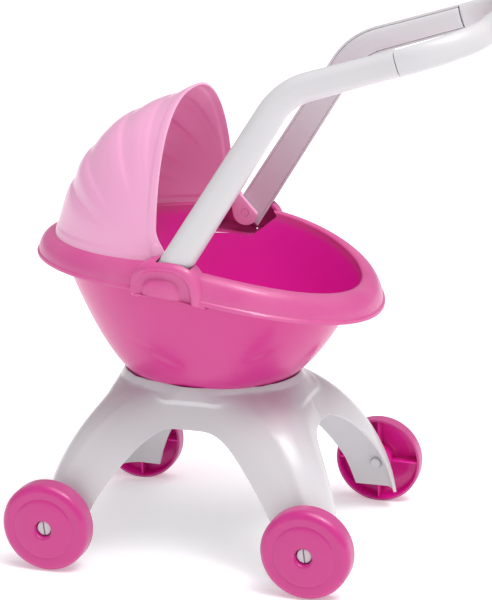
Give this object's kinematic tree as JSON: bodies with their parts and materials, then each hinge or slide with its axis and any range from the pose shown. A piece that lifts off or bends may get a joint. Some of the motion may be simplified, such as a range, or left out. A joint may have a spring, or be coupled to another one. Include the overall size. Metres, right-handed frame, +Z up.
{
  "type": "doll stroller",
  "caption": "Moulded plastic doll stroller: deep oval tub with a tilting hood, four-legged arched base on free-rolling wheels, and a tall U-shaped push handle.",
  "frame": {"origin": "on the floor, under the middle of the whole object's box", "axes": "+X towards the push bar (rear), +Y towards the left side, +Z up"},
  "size_m": [0.4739, 0.2962, 0.5489],
  "materials": {
    "white_plastic": "glossy moulded white plastic",
    "pink_plastic": "glossy moulded magenta-pink plastic",
    "wheel_plastic": "glossy moulded magenta-pink plastic",
    "pale_pink_plastic": "glossy slightly translucent-looking pale pink plastic",
    "steel": "zinc-plated screws under the base"
  },
  "bodies": {
    "chassis": {"base": "white_plastic", "tub": "pink_plastic", "push_bar": "white_plastic", "arm_right": "white_plastic", "arm_left": "white_plastic", "arm_cover_right": "white_plastic", "arm_cover_left": "white_plastic", "axle_pin_front_right": "white_plastic", "axle_pin_front_left": "white_plastic", "axle_pin_rear_right": "white_plastic", "axle_pin_rear_left": "white_plastic", "hood_pivot_right": "white_plastic", "hood_pivot_left": "white_plastic", "tub_screw_1": "steel", "tub_screw_2": "steel", "tub_screw_3": "steel", "tub_screw_4": "steel"},
    "hood": {"hood": "pale_pink_plastic"},
    "wheel_front_right": {"wheel_front_right": "wheel_plastic"},
    "wheel_front_left": {"wheel_front_left": "wheel_plastic"},
    "wheel_rear_right": {"wheel_rear_right": "wheel_plastic"},
    "wheel_rear_left": {"wheel_rear_left": "wheel_plastic"}
  },
  "joints": [
    {"name": "front_right_wheel_spin", "type": "hinge", "parent": "chassis", "child": "wheel_front_right", "pos_m": [-0.19125, -0.1355, 0.045], "axis": [0, 1, 0], "continuous": true},
    {"name": "front_left_wheel_spin", "type": "hinge", "parent": "chassis", "child": "wheel_front_left", "pos_m": [-0.19125, 0.1355, 0.045], "axis": [0, 1, 0], "continuous": true},
    {"name": "rear_right_wheel_spin", "type": "hinge", "parent": "chassis", "child": "wheel_rear_right", "pos_m": [0.07475, -0.1355, 0.045], "axis": [0, 1, 0], "continuous": true},
    {"name": "rear_left_wheel_spin", "type": "hinge", "parent": "chassis", "child": "wheel_rear_left", "pos_m": [0.07475, 0.1355, 0.045], "axis": [0, 1, 0], "continuous": true},
    {"name": "hood_tilt", "type": "hinge", "parent": "chassis", "child": "hood", "pos_m": [-0.06275, 0, 0.308], "axis": [0, 1, 0], "range_deg": [0, 65]}
  ]
}
